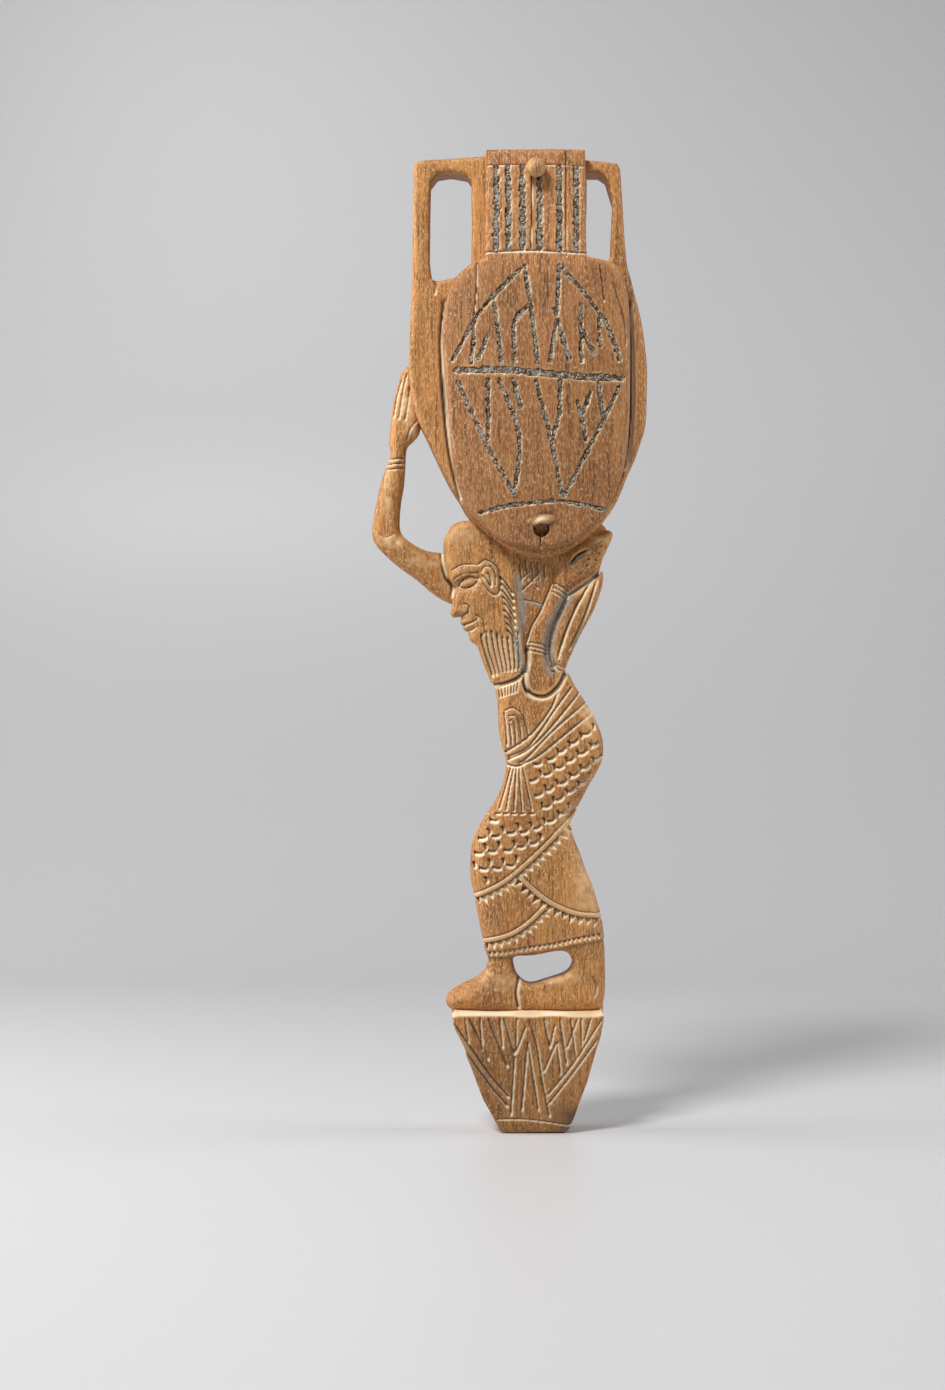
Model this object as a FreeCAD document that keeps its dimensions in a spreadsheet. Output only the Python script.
import FreeCAD, Part
import os

Vector = FreeCAD.Vector
Rotation = FreeCAD.Rotation
Placement = FreeCAD.Placement

# Sizes of the spoon, in millimetres and degrees
SIZES = {
    # tapered base with a rounded foot
    "base_foot_width": 19.2,
    "base_foot_depth": 13.0,
    "base_foot_height": 3.0,
    "base_neck_width": 23.6,
    "base_neck_depth": 14.4,
    "base_height": 36.6,
    "base_top_width": 46.8,
    "base_top_depth": 17.0,
    "base_top_shift": -2.1,
    # feet and ankles
    "foot_depth": 11.0,
    "sole_height": 3.0,
    "instep_height": 7.2,
    "front_ankle_x": -9.9,
    "front_ankle_width": 8.1,
    "front_toe_reach": 16.6,
    "front_heel_reach": 5.4,
    "rear_ankle_x": 16.5,
    "rear_ankle_width": 10.2,
    "rear_toe_reach": 18.0,
    "rear_heel_reach": 5.2,
    "ankle_depth": 10.4,
    # kilt and trunk: rise of each level above the one below, width, sideways place
    "leg_length": 18.0,
    "hem_width": 35.7,
    "hem_x": 3.8,
    "calf_rise": 8.4,
    "calf_width": 36.6,
    "calf_x": 2.1,
    "shin_rise": 9.6,
    "shin_width": 36.3,
    "shin_x": 0.2,
    "knee_rise": 9.6,
    "knee_width": 33.3,
    "knee_x": -2.3,
    "crook_rise": 9.6,
    "crook_width": 27.3,
    "crook_x": -2.5,
    "thigh_rise": 14.4,
    "thigh_width": 25.5,
    "thigh_x": 4.3,
    "hip_rise": 12.0,
    "hip_width": 30.6,
    "hip_x": 5.4,
    "waist_rise": 7.2,
    "waist_width": 29.4,
    "waist_x": 3.9,
    "belly_rise": 9.6,
    "belly_width": 24.6,
    "belly_x": 0.4,
    "chest_rise": 9.6,
    "chest_width": 22.8,
    "chest_x": 1.0,
    "shoulder_rise": 9.6,
    "shoulder_width": 25.8,
    "shoulder_x": 4.2,
    "nape_rise": 11.0,
    "nape_width": 26.4,
    "nape_x": 6.6,
    "nape_to_pivot": 16.0,
    "kilt_depth": 15.0,
    "hip_depth": 14.4,
    "chest_depth": 12.6,
    "nape_depth": 12.0,
    # head, beard and arms, placed from the pivot of the lid
    "head_x": -18.6,
    "head_drop": 15.6,
    "head_length": 37.0,
    "head_width": 20.0,
    "head_depth": 16.0,
    "head_tilt": 20.0,
    "beard_x": -11.6,
    "beard_drop": 36.0,
    "beard_length": 15.0,
    "beard_width": 9.6,
    "far_elbow_x": -46.4,
    "far_elbow_drop": 2.2,
    "far_elbow_width": 9.2,
    "far_upper_arm_x": -25.0,
    "far_upper_arm_drop": 17.0,
    "far_upper_arm_width": 13.2,
    "far_wrist_x": -43.2,
    "far_wrist_rise": 23.0,
    "far_wrist_width": 5.6,
    "far_hand_x": -40.2,
    "far_hand_rise": 36.0,
    "far_hand_length": 26.0,
    "far_hand_width": 8.4,
    "near_shoulder_x": 13.4,
    "near_shoulder_drop": 14.0,
    "near_shoulder_width": 12.0,
    "near_elbow_x": 1.6,
    "near_elbow_drop": 43.6,
    "near_elbow_width": 10.4,
    "near_wrist_x": 5.6,
    "near_wrist_drop": 18.5,
    "near_wrist_width": 6.4,
    "near_hand_x": 15.6,
    "near_hand_drop": 3.6,
    "near_hand_width": 8.2,
    # vessel that forms the spoon, placed from the pivot of the lid
    "pivot_x": 2.1,
    "pivot_offset": 1.4,
    "vessel_lean": 3.3,
    "vessel_base_width": 20.0,
    "vessel_base_drop": 9.0,
    "vessel_heel_width": 49.2,
    "vessel_belly_width": 72.4,
    "vessel_belly_rise": 46.0,
    "vessel_shoulder_width": 65.0,
    "vessel_shoulder_rise": 78.0,
    "vessel_neck_width": 29.0,
    "vessel_height": 113.4,
    "handle_span": 63.4,
    "handle_bar_width": 4.7,
    "handle_top_bar": 5.4,
    "vessel_front": 5.5,
    "vessel_thickness": 18.5,
    "back_curve_across": 84.0,
    "back_curve_along": 220.0,
    "back_curve_depth": 20.0,
    # hollow for the cosmetic, with a channel up the neck
    "hollow_width": 47.0,
    "hollow_length": 64.0,
    "hollow_depth": 12.5,
    "hollow_rise": 42.0,
    "channel_width": 12.0,
    "channel_end_rise": 96.0,
    # lid
    "lid_ajar": 3.3,
    "lid_gap": 0.2,
    "lid_edge_thickness": 3.7,
    "lid_crown_thickness": 6.9,
    "lid_width": 55.8,
    "lid_widest_rise": 52.0,
    "lid_heel_width": 42.0,
    "lid_heel_rise": 6.0,
    "lid_toe_drop": 6.4,
    "lid_neck_width": 30.3,
    "lid_neck_foot_rise": 82.0,
    "lid_height": 114.0,
    "lid_curve_across": 100.4,
    "lid_curve_along": 294.0,
    "lid_curve_depth": 20.0,
    "lid_curve_rise": 50.0,
    # pivot peg
    "peg_diameter": 4.4,
    "peg_clearance": 0.05,
    "peg_depth": 8.0,
    "peg_break_angle": 38.0,
    "peg_recess": 0.9,
    # ball knob that a cord was wound round
    "knob_diameter": 6.0,
    "knob_rise": 107.4,
    "knob_x": -0.3,
    "knob_stand": 2.2,
    "knob_shank_diameter": 2.4,
    "knob_shank_depth": 3.0,
    # carved lines filled with paste
    "groove_depth": 1.0,
    "paste_recess": 0.35,
    "stripe_width": 1.6,
    "stripe_margin": 2.9,
    "stripe_top_margin": 5.6,
    "line_width": 0.9,
    "band_width": 1.8,
    "band_rise": 46.5,
    "foot_line_rise": 8.2,
    "recess_width": 2.2,
    "recess_depth": 3.2,
    "recess_paste": 0.8,
    "recess_x": -7.2,
    "recess_top_drop": 14.5,
    "recess_length": 25.0,
}

# Uneven places of the six neck stripes, as shares of their reach from the middle
STRIPE_PLACES = (-1.0, -0.69, -0.33, 0.07, 0.55, 0.98)

doc = FreeCAD.newDocument("cosmetic_spoon")
sheet = doc.addObject("Spreadsheet::Sheet", "sizes")
for row, (name, value) in enumerate(SIZES.items(), start=1):
    sheet.set("A%d" % row, name)
    sheet.set("B%d" % row, str(value))
    sheet.setAlias("B%d" % row, name)
doc.recompute()


def size(name):
    return float(sheet.get(name))


def ref(name):
    return "sizes." + name


def plus(*terms):
    return " + ".join(str(term) for term in terms)


def bind(obj, **formulas):
    for prop, formula in formulas.items():
        obj.setExpression(prop.replace("__", "."), formula)
    return obj


def turned(obj, x, z, angle, y="0"):
    obj.Placement = Placement(Vector(0, 0, 0), Rotation(Vector(0, 1, 0), 10))
    obj.setExpression("Placement.Base.x", x)
    obj.setExpression("Placement.Base.y", y)
    obj.setExpression("Placement.Base.z", z)
    obj.setExpression("Placement.Rotation.Angle", angle)
    return obj


def wedge(name, low_x, high_x, low_z, high_z, top_low_x, top_high_x, depth, top_depth):
    # block whose top is a different rectangle from its bottom
    obj = doc.addObject("Part::Wedge", name)
    obj.Placement = Placement(Vector(0, 0, 0), Rotation(Vector(1, 0, 0), 90))
    bind(obj, Xmin=low_x, Xmax=high_x, X2min=top_low_x, X2max=top_high_x)
    bind(obj, Ymin=low_z, Ymax=high_z)
    bind(obj, Zmin="0 - (%s) / 2" % depth, Zmax="(%s) / 2" % depth)
    bind(obj, Z2min="0 - (%s) / 2" % top_depth, Z2max="(%s) / 2" % top_depth)
    return obj


def limb(name, x1, z1, width1, x2, z2, width2, y="0"):
    # tapered round limb between two joints, with a ball at the far one
    run = "((%s) - (%s))" % (x2, x1)
    rise = "((%s) - (%s))" % (z2, z1)
    cone = doc.addObject("Part::Cone", name)
    bind(cone, Radius1="(%s) / 2" % width1, Radius2="(%s) / 2" % width2)
    bind(cone, Height="sqrt(%s * %s + %s * %s)" % (run, run, rise, rise))
    turned(cone, x1, z1, "atan2(%s; %s)" % (run, rise), y)
    return [cone, knuckle(name + "_end", x2, z2, width2, y)]


def knuckle(name, x, z, width, y="0"):
    # ball that rounds a joint
    ball = doc.addObject("Part::Sphere", name)
    bind(ball, Radius="(%s) / 2 * 1.01" % width)
    return bind(ball, Placement__Base__x=x, Placement__Base__y=y, Placement__Base__z=z)


def egg(name, x, z, across, deep, along, angle="0", y="0"):
    # ellipsoid given by its three full sizes
    obj = doc.addObject("Part::Ellipsoid", name)
    obj.Angle1 = -90
    obj.Angle2 = 90
    bind(obj, Radius1="(%s) / 2" % along, Radius2="(%s) / 2" % across, Radius3="(%s) / 2" % deep)
    return turned(obj, x, z, angle, y)


def boolean(kind, name, base, tool):
    obj = doc.addObject("Part::" + kind, name)
    obj.Base = base
    obj.Tool = tool
    return obj


def joined(name, parts):
    obj = doc.addObject("Part::MultiFuse", name)
    obj.Shapes = parts
    return obj


def pushed(name, wire_shape, front, back):
    # flat outline made solid between two depths
    outline = doc.addObject("Part::Feature", name + "_outline")
    outline.Shape = wire_shape
    solid = doc.addObject("Part::Extrusion", name)
    solid.Base = outline
    solid.DirMode = "Custom"
    solid.Dir = Vector(0, 1, 0)
    solid.Solid = True
    bind(solid, LengthFwd=back, LengthRev=front)
    return solid


def half_outline(points, top_points):
    # spline up the right side, straight lines over the top, mirrored on the left
    right = [Vector(x, 0, z) for x, z in points]
    left = [Vector(-point.x, 0, point.z) for point in right]
    curve = Part.BSplineCurve()
    curve.interpolate([left[-1 - i] for i in range(len(left) - 1)] + right)
    edges = [curve.toShape()]
    over = [right[-1]] + [Vector(x, 0, z) for x, z in top_points]
    over += [Vector(-x, 0, z) for x, z in reversed(top_points)] + [left[-1]]
    for start, end in zip(over[:-1], over[1:]):
        edges.append(Part.LineSegment(start, end).toShape())
    wire = Part.Wire(Part.__sortEdges__(edges))
    face = Part.Face(wire)
    face.translate(Vector(-size("pivot_offset"), 0, 0))
    return face


def stroke(points, width, depth):
    # bar of one width and depth along a line of straight runs
    corners = [Vector(x, 0, z) for x, z in points]
    if len(corners) == 2:
        across = (corners[1] - corners[0]).cross(Vector(0, 1, 0)).normalize() * (width / 2)
        ring = [corners[0] + across, corners[1] + across, corners[1] - across,
                corners[0] - across, corners[0] + across]
        ribbon = Part.Face(Part.makePolygon(ring))
    else:
        wire = Part.Wire(Part.makePolygon(corners).Edges)
        ribbon = Part.Face(wire.makeOffset2D(width / 2, 0, False, False))
    ribbon.translate(Vector(-size("pivot_offset"), 0, 0))
    return ribbon.extrude(Vector(0, depth, 0))


# Heights of the figure's levels, each from the one below
hem_z = plus(ref("base_height"), ref("leg_length"))
calf_z = plus(hem_z, ref("calf_rise"))
shin_z = plus(calf_z, ref("shin_rise"))
knee_z = plus(shin_z, ref("knee_rise"))
crook_z = plus(knee_z, ref("crook_rise"))
thigh_z = plus(crook_z, ref("thigh_rise"))
hip_z = plus(thigh_z, ref("hip_rise"))
waist_z = plus(hip_z, ref("waist_rise"))
belly_z = plus(waist_z, ref("belly_rise"))
chest_z = plus(belly_z, ref("chest_rise"))
shoulder_z = plus(chest_z, ref("shoulder_rise"))
nape_z = plus(shoulder_z, ref("nape_rise"))
pivot_z = plus(nape_z, ref("nape_to_pivot"))
pivot_x = ref("pivot_x")

# Base: rounded foot and a block that widens towards the ledge
half_foot = "sizes.base_foot_width / 2"
half_neck = "sizes.base_neck_width / 2"
half_top = "sizes.base_top_width / 2"
base_foot = wedge("base_foot", "0 - " + half_foot, half_foot, "0", ref("base_foot_height"),
                  "0 - " + half_neck, half_neck, ref("base_foot_depth"), ref("base_neck_depth"))
base_block = wedge("base_block", "0 - " + half_neck, half_neck,
                   ref("base_foot_height"), ref("base_height"),
                   "sizes.base_top_shift - " + half_top, "sizes.base_top_shift + " + half_top,
                   ref("base_neck_depth"), ref("base_top_depth"))

# Feet and ankles
figure = [base_foot, base_block]
for side in ("front", "rear"):
    ankle_x = ref(side + "_ankle_x")
    half_ankle = ref(side + "_ankle_width") + " / 2"
    toe = ankle_x + " - " + ref(side + "_toe_reach")
    heel = ankle_x + " + " + ref(side + "_heel_reach")
    sole_top = "sizes.base_height + sizes.sole_height"
    sole = wedge(side + "_sole", toe, heel, "sizes.base_height - 1", sole_top,
                 toe, heel, ref("foot_depth"), ref("foot_depth"))
    instep = wedge(side + "_instep", toe, heel, sole_top, sole_top + " + sizes.instep_height",
                   ankle_x + " - " + half_ankle, ankle_x + " + " + half_ankle,
                   ref("foot_depth"), ref("ankle_depth"))
    ankle = wedge(side + "_ankle", ankle_x + " - " + half_ankle, ankle_x + " + " + half_ankle,
                  sole_top, hem_z + " + 4",
                  ankle_x + " - " + half_ankle, ankle_x + " + " + half_ankle,
                  ref("ankle_depth"), ref("ankle_depth"))
    figure += [sole, instep, ankle]

# Kilt and trunk: one smooth body through oval levels
levels = [
    ("hem", hem_z, "kilt_depth"),
    ("calf", calf_z, "kilt_depth"),
    ("shin", shin_z, "kilt_depth"),
    ("knee", knee_z, "kilt_depth"),
    ("crook", crook_z, "kilt_depth"),
    ("thigh", thigh_z, "hip_depth"),
    ("hip", hip_z, "hip_depth"),
    ("waist", waist_z, "hip_depth"),
    ("belly", belly_z, "chest_depth"),
    ("chest", chest_z, "chest_depth"),
    ("shoulder", shoulder_z, "chest_depth"),
    ("nape", nape_z, "nape_depth"),
]
ovals = []
for name, height, depth in levels:
    oval = doc.addObject("Part::Ellipse", name + "_level")
    bind(oval, MajorRadius=ref(name + "_width") + " / 2", MinorRadius=ref(depth) + " / 2")
    bind(oval, Placement__Base__x=ref(name + "_x"), Placement__Base__z=height)
    ovals.append(oval)
trunk = doc.addObject("Part::Loft", "trunk")
trunk.Sections = ovals
trunk.Solid = True
figure.append(trunk)
figure.append(egg("nape_seat", ref("nape_x"), nape_z, "sizes.nape_width * 1.06",
                  "sizes.nape_depth * 1.06", "sizes.nape_rise + 2 * sizes.nape_to_pivot", "0 - 9"))

# Head bent forward under the vessel, with the beard
figure.append(egg("head", plus(pivot_x, ref("head_x")), pivot_z + " - sizes.head_drop",
                  ref("head_width"), ref("head_depth"), ref("head_length"),
                  "0 - sizes.head_tilt"))
figure.append(egg("beard", plus(pivot_x, ref("beard_x")), pivot_z + " - sizes.beard_drop",
                  ref("beard_width"), ref("chest_depth"), "sizes.beard_length * 2", "0 - 12"))

# Far arm, raised along the vessel: upper arm, forearm and open hand
far_elbow = (plus(pivot_x, ref("far_elbow_x")), pivot_z + " - sizes.far_elbow_drop",
             ref("far_elbow_width"))
far_upper = (plus(pivot_x, ref("far_upper_arm_x")), pivot_z + " - sizes.far_upper_arm_drop",
             ref("far_upper_arm_width"))
far_wrist = (plus(pivot_x, ref("far_wrist_x")), pivot_z + " + sizes.far_wrist_rise",
             ref("far_wrist_width"))
figure.append(knuckle("far_elbow", *far_elbow))
figure += limb("far_upper_arm", *far_elbow, *far_upper)
figure += limb("far_forearm", *far_elbow, *far_wrist)
figure.append(egg("far_hand", plus(pivot_x, ref("far_hand_x")), pivot_z + " + sizes.far_hand_rise",
                  ref("far_hand_width"), ref("far_hand_width"), ref("far_hand_length"), "10"))

# Near arm, folded so that the palm carries the vessel
near_shoulder = (plus(pivot_x, ref("near_shoulder_x")), pivot_z + " - sizes.near_shoulder_drop",
                 ref("near_shoulder_width"))
near_elbow = (plus(pivot_x, ref("near_elbow_x")), pivot_z + " - sizes.near_elbow_drop",
              ref("near_elbow_width"))
near_wrist = (plus(pivot_x, ref("near_wrist_x")), pivot_z + " - sizes.near_wrist_drop",
              ref("near_wrist_width"))
near_hand = (plus(pivot_x, ref("near_hand_x")), pivot_z + " - sizes.near_hand_drop",
             ref("near_hand_width"))
figure.append(knuckle("near_elbow", *near_elbow))
figure += limb("near_upper_arm", *near_elbow, *near_shoulder)
figure += limb("near_forearm", *near_elbow, *near_wrist)
figure += limb("near_palm", *near_wrist, *near_hand)

# Vessel: flat front, curved back, two square loop handles beside the neck
neck = size("vessel_neck_width") / 2
shoulder = size("vessel_shoulder_rise")
rim = size("vessel_height")
span = size("handle_span") / 2
belly = size("vessel_belly_width") / 2
low = size("vessel_base_drop")
heel_width = size("vessel_heel_width") / 2
swell = size("vessel_belly_rise")
right_side = [
    (0, -low),
    (size("vessel_base_width") / 2, -low * 0.8),
    (heel_width, swell * 0.16),
    (belly * 0.95, swell * 0.62),
    (belly, swell),
    (size("vessel_shoulder_width") / 2, shoulder),
    (span, shoulder + (rim - shoulder) * 0.8),
]
vessel_face = half_outline(right_side, [(span - 1.2, rim - 2.4), (neck, rim)])
vessel_plate = pushed("vessel_plate", vessel_face, "0 - sizes.vessel_front",
                      "sizes.vessel_thickness + 2")
turned(vessel_plate, "0", "0", "0", "0 - 2 * sizes.vessel_front")
vessel_back = egg("vessel_back", "0 - sizes.pivot_offset", ref("lid_curve_rise"),
                  ref("back_curve_across"), "sizes.back_curve_depth * 2", ref("back_curve_along"),
                  "0", "sizes.vessel_thickness - sizes.vessel_front - sizes.back_curve_depth")
vessel_solid = boolean("Common", "vessel_solid", vessel_plate, vessel_back)
loops = []
for side, sign in (("left", "0 - "), ("right", "")):
    loop = doc.addObject("Part::Box", side + "_loop")
    bind(loop, Length="sizes.handle_span / 2 - sizes.handle_bar_width - sizes.vessel_neck_width / 2")
    bind(loop, Width="sizes.vessel_thickness * 3")
    bind(loop, Height="sizes.vessel_height - sizes.handle_top_bar - sizes.vessel_shoulder_rise")
    inner = "sizes.vessel_neck_width / 2"
    outer = "sizes.handle_span / 2 - sizes.handle_bar_width"
    start = inner if side == "right" else "0 - (" + outer + ")"
    bind(loop, Placement__Base__x=start + " - sizes.pivot_offset")
    bind(loop, Placement__Base__y="0 - sizes.vessel_thickness * 1.5")
    bind(loop, Placement__Base__z=ref("vessel_shoulder_rise"))
    loops.append(loop)
vessel = boolean("Cut", "vessel", vessel_solid, joined("handle_loops", loops))
turned(vessel, pivot_x, pivot_z, "0 - sizes.vessel_lean")

# Everything that the lid can swing over lies behind one flat plane
carving = joined("carving", figure + [vessel])
front_clear = doc.addObject("Part::Box", "front_clear")
bind(front_clear, Length="4 * sizes.vessel_height", Width="4 * sizes.vessel_front",
     Height="2 * sizes.vessel_height")
bind(front_clear, Placement__Base__x="0 - 2 * sizes.vessel_height",
     Placement__Base__y="0 - 5 * sizes.vessel_front", Placement__Base__z=belly_z)
carving_flat = boolean("Cut", "carving_flat", carving, front_clear)

# Hollow for the cosmetic, its channel up the neck, and the blind hole of the peg
hollow = egg("hollow", "0 - sizes.pivot_offset", ref("hollow_rise"), ref("hollow_width"),
             "sizes.hollow_depth * 2", ref("hollow_length"), "0", "0 - sizes.vessel_front")
channel = doc.addObject("Part::Cylinder", "channel")
bind(channel, Radius="sizes.channel_width / 2", Height="sizes.channel_end_rise - sizes.hollow_rise")
bind(channel, Placement__Base__x="0 - sizes.pivot_offset",
     Placement__Base__y="0 - sizes.vessel_front", Placement__Base__z=ref("hollow_rise"))
channel_end = doc.addObject("Part::Sphere", "channel_end")
bind(channel_end, Radius="sizes.channel_width / 2")
bind(channel_end, Placement__Base__x="0 - sizes.pivot_offset",
     Placement__Base__y="0 - sizes.vessel_front", Placement__Base__z=ref("channel_end_rise"))
hollows = joined("hollows", [hollow, channel, channel_end])
turned(hollows, pivot_x, pivot_z, "0 - sizes.vessel_lean")
peg_hole = doc.addObject("Part::Cylinder", "peg_hole")
peg_hole.Placement = Placement(Vector(0, 0, 0), Rotation(Vector(1, 0, 0), -90))
bind(peg_hole, Radius="sizes.peg_diameter / 2", Height="2 * sizes.peg_depth")
bind(peg_hole, Placement__Base__x=pivot_x, Placement__Base__z=pivot_z,
     Placement__Base__y="0 - sizes.vessel_front - sizes.peg_depth")

# Sunk strip between beard and folded arm, with paste at its bottom
recess_x = "sizes.pivot_x + sizes.recess_x - sizes.recess_width / 2"
recess_z = pivot_z + " - sizes.recess_top_drop - sizes.recess_length"
recess_back = "sizes.recess_depth - sizes.vessel_front"
recess = doc.addObject("Part::Box", "recess")
bind(recess, Length=ref("recess_width"), Height=ref("recess_length"),
     Width="2 * sizes.vessel_front")
bind(recess, Placement__Base__x=recess_x, Placement__Base__z=recess_z,
     Placement__Base__y=recess_back + " - 2 * sizes.vessel_front")
arm_recess_paste = doc.addObject("Part::Box", "arm_recess_paste")
bind(arm_recess_paste, Length=ref("recess_width"), Height=ref("recess_length"),
     Width=ref("recess_paste"))
bind(arm_recess_paste, Placement__Base__x=recess_x, Placement__Base__z=recess_z,
     Placement__Base__y=recess_back + " - sizes.recess_paste")

spoon_body = boolean("Cut", "spoon_body", carving_flat,
                     joined("body_hollows", [hollows, peg_hole, recess]))

# Lid: flat back, domed front, the outline of a jar
lid_half = size("lid_width") / 2
lid_neck = size("lid_neck_width") / 2
foot_rise = size("lid_neck_foot_rise")
widest = size("lid_widest_rise")
lid_right = [
    (0, -size("lid_toe_drop")),
    (size("lid_heel_width") / 2, size("lid_heel_rise")),
    (lid_half * 0.96, widest * 0.42),
    (lid_half, widest),
    (lid_half * 0.97, foot_rise - 8.6),
    (lid_half * 0.83, foot_rise - 2.6),
    (lid_neck, foot_rise),
]
lid_face = half_outline(lid_right, [(lid_neck, size("lid_height"))])
lid_plate = pushed("lid_plate", lid_face, "0", "3 * sizes.lid_crown_thickness")
turned(lid_plate, "0", "0", "0",
       "0 - sizes.vessel_front - sizes.lid_gap - 3 * sizes.lid_crown_thickness")


def lid_dome(name, sunk):
    # the front curve of the lid, or the same curve sunk below it
    front = "sizes.vessel_front + sizes.lid_gap + sizes.lid_crown_thickness"
    middle = "0 - (" + front + ") + sizes.lid_curve_depth + " + sunk
    return egg(name, "0 - sizes.pivot_offset", ref("lid_curve_rise"), ref("lid_curve_across"),
               "2 * sizes.lid_curve_depth", ref("lid_curve_along"), "0", middle)


lid_blank = boolean("Common", "lid_blank", lid_plate, lid_dome("lid_front", "0"))
lid_bore = doc.addObject("Part::Cylinder", "lid_bore")
lid_bore.Placement = Placement(Vector(0, 0, 0), Rotation(Vector(1, 0, 0), -90))
bind(lid_bore, Radius="sizes.peg_diameter / 2 + sizes.peg_clearance",
     Height="4 * sizes.lid_crown_thickness")
bind(lid_bore, Placement__Base__y="0 - sizes.vessel_front - 3 * sizes.lid_crown_thickness")

# Height of the lid's front at the knob, where the ball is seated
knob_front = ("(sizes.vessel_front + sizes.lid_gap + sizes.lid_crown_thickness"
              " - sizes.lid_curve_depth * (1 - sqrt(1 - pow((sizes.knob_rise"
              " - sizes.lid_curve_rise) / (sizes.lid_curve_along / 2); 2))))")
knob_x = "sizes.knob_x - sizes.pivot_offset"
knob_ball = doc.addObject("Part::Sphere", "knob_ball")
bind(knob_ball, Radius="sizes.knob_diameter / 2")
bind(knob_ball, Placement__Base__x=knob_x, Placement__Base__z=ref("knob_rise"),
     Placement__Base__y="0 - " + knob_front + " - sizes.knob_stand")
knob_shank = doc.addObject("Part::Cylinder", "knob_shank")
knob_shank.Placement = Placement(Vector(0, 0, 0), Rotation(Vector(1, 0, 0), -90))
bind(knob_shank, Radius="sizes.knob_shank_diameter / 2",
     Height="sizes.knob_shank_depth + sizes.knob_stand")
bind(knob_shank, Placement__Base__x=knob_x, Placement__Base__z=ref("knob_rise"),
     Placement__Base__y="0 - " + knob_front + " - sizes.knob_stand")
closure_knob = joined("closure_knob", [knob_ball, knob_shank])
knob_seat = joined("knob_seat", [knob_ball, knob_shank])

# Carved lines of the lid, as shares across its half width and up each field
band = size("band_rise")
top_field = foot_rise - 2.5 - band
low_field = band - 2.5
foot_line = size("foot_line_rise")
neck_top = size("lid_height") - size("stripe_top_margin")
stripe_reach = lid_neck - size("stripe_margin")


def upper(*pairs):
    return [(lid_half * across, band + top_field * up) for across, up in pairs]


def lower(*pairs):
    return [(lid_half * across, band - low_field * down) for across, down in pairs]


line = size("line_width")
reach = 3 * size("lid_crown_thickness")
carved = {
    "neck_stripe_paste": [
        stroke([(stripe_reach * place, foot_rise + 1.2), (stripe_reach * place, neck_top)],
               size("stripe_width"), reach)
        for place in STRIPE_PLACES
    ],
    "shoulder_frieze_paste": [
        stroke(upper(*pairs), line, reach) for pairs in (
            ((-0.13, 0.97), (-0.40, 0.75), (-0.66, 0.48), (-0.90, 0.12)),
            ((0.24, 0.97), (0.52, 0.71), (0.75, 0.44), (0.90, 0.12)),
            ((-0.13, 0.97), (-0.07, 0.63), (0.01, 0.10)),
            ((-0.07, 0.63), (-0.24, 0.44), (-0.23, 0.10)),
            ((-0.46, 0.70), (-0.38, 0.10)),
            ((-0.66, 0.48), (-0.70, 0.10)),
            ((-0.52, 0.34), (-0.62, 0.14)),
            ((0.24, 0.97), (0.21, 0.48), (0.14, 0.10)),
            ((0.18, 0.58), (0.35, 0.12)),
            ((0.47, 0.62), (0.48, 0.10)),
            ((0.67, 0.50), (0.68, 0.24)),
            ((0.49, 0.38), (0.61, 0.18)),
        )
    ],
    "waist_band_paste": [
        stroke([(-lid_half * 0.86, band + 1.1), (0, band), (lid_half * 0.92, band - 1.4)],
               size("band_width"), reach),
    ],
    "belly_frieze_paste": [
        stroke(lower(*pairs), line, reach) for pairs in (
            ((-0.84, 0.06), (-0.52, 0.50), (-0.24, 0.82)),
            ((0.88, 0.10), (0.55, 0.52), (0.29, 0.83)),
            ((-0.40, 0.05), (-0.19, 0.42), (-0.23, 0.80)),
            ((-0.01, 0.05), (0.05, 0.20), (0.16, 0.48), (0.27, 0.82)),
            ((-0.52, 0.05), (-0.52, 0.44)),
            ((-0.25, 0.05), (-0.17, 0.24)),
            ((0.25, 0.06), (0.24, 0.28), (0.17, 0.44)),
            ((0.44, 0.20), (0.53, 0.46)),
            ((0.57, 0.14), (0.47, 0.31)),
            ((0.66, 0.07), (0.71, 0.29)),
        )
    ],
    "foot_line_paste": [
        stroke([(-0.62 * lid_half, foot_line - 3.4), (-0.23 * lid_half, foot_line - 1.0),
                (0.28 * lid_half, foot_line), (0.75 * lid_half, foot_line - 2.2)], line, reach),
    ],
}
grooves = []
pastes = []
for name, bars in carved.items():
    prism = doc.addObject("Part::Feature", name + "_lines")
    prism.Shape = bars[0] if len(bars) == 1 else bars[0].multiFuse(bars[1:]).removeSplitter()
    turned(prism, "0", "0", "0",
           "0.5 - sizes.vessel_front - sizes.lid_edge_thickness / 2 - 3 * sizes.lid_crown_thickness")
    floor = lid_dome(name + "_floor", ref("groove_depth"))
    groove = boolean("Cut", name + "_groove", prism, floor)
    level = lid_dome(name + "_level", ref("paste_recess"))
    if name == "neck_stripe_paste":
        layer = boolean("Common", name + "_layer", groove, level)
        filling = boolean("Cut", name, layer, knob_seat)
    else:
        filling = boolean("Common", name, groove, level)
    grooves.append(groove)
    pastes.append(filling)

lid_holes = [boolean("Cut", "lid_with_bore", lid_blank, lid_bore)]
lid_holes.append(boolean("Cut", "lid_with_knob_seat", lid_holes[-1], knob_seat))
for groove in grooves[:-1]:
    lid_holes.append(boolean("Cut", "lid_with_" + groove.Name, lid_holes[-1], groove))
lid = boolean("Cut", "lid", lid_holes[-1], grooves[-1])
for moving in [lid, closure_knob] + pastes:
    turned(moving, pivot_x, pivot_z, "sizes.lid_ajar - sizes.vessel_lean")

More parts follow.
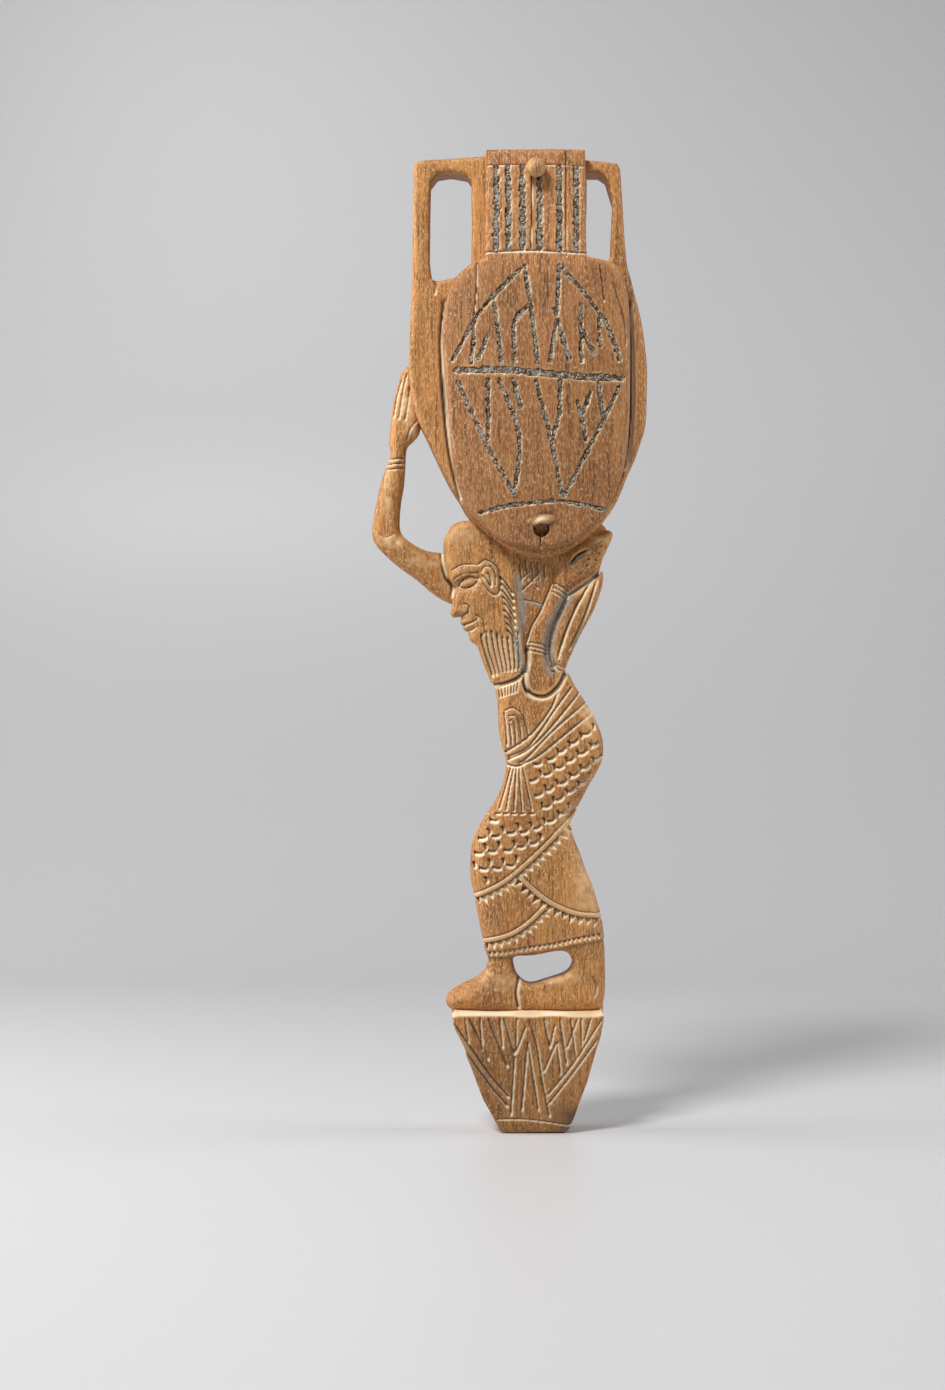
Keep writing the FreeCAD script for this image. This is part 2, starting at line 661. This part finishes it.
# Pivot peg: driven into the body, broken off at a slant in the lid's bore
peg_front = ("(sizes.vessel_front + sizes.lid_gap + sizes.lid_crown_thickness"
             " - sizes.lid_curve_depth * (1 - sqrt(1 - pow(sizes.lid_curve_rise"
             " / (sizes.lid_curve_along / 2); 2))) - sizes.peg_recess)")
peg_rod = doc.addObject("Part::Cylinder", "peg_rod")
peg_rod.Placement = Placement(Vector(0, 0, 0), Rotation(Vector(1, 0, 0), -90))
bind(peg_rod, Radius="sizes.peg_diameter / 2",
     Height=peg_front + " - sizes.vessel_front + sizes.peg_depth")
bind(peg_rod, Placement__Base__x=pivot_x, Placement__Base__z=pivot_z,
     Placement__Base__y="0 - " + peg_front)
peg_break = doc.addObject("Part::Box", "peg_break")
peg_break.Placement = Placement(Vector(0, 0, 0), Rotation(Vector(1, 0, 0), 10))
bind(peg_break, Length="4 * sizes.peg_diameter", Width="4 * sizes.peg_diameter",
     Height="8 * sizes.peg_diameter")
bind(peg_break, Placement__Rotation__Angle="0 - sizes.peg_break_angle")
bind(peg_break, Placement__Base__x=pivot_x + " - 2 * sizes.peg_diameter",
     Placement__Base__z=pivot_z + " + sizes.peg_diameter / 2",
     Placement__Base__y="0 - " + peg_front + " - 4 * sizes.peg_diameter")
pivot_peg = boolean("Cut", "pivot_peg", peg_rod, peg_break)

pieces = [spoon_body, lid, pivot_peg, closure_knob, arm_recess_paste] + pastes
for piece in pieces:
    piece.Label = piece.Name
doc.recompute()

faults = [obj.Name for obj in doc.Objects if "Invalid" in obj.State or "Error" in obj.State]
for piece in pieces:
    if piece.Shape.isNull() or not piece.Shape.isValid() or not piece.Shape.Solids:
        faults.append(piece.Label + " shape")
if faults:
    raise SystemExit("failed: " + ", ".join(faults))

os.makedirs("parts", exist_ok=True)
for piece in pieces:
    piece.Shape.exportStep("parts/" + piece.Label + ".step")
    box = piece.Shape.optimalBoundingBox(False)
    print("%-24s solids %d volume %9.1f  x %.1f %.1f  y %.2f %.2f  z %.1f %.1f" % (
        piece.Label, len(piece.Shape.Solids), piece.Shape.Volume,
        box.XMin, box.XMax, box.YMin, box.YMax, box.ZMin, box.ZMax))
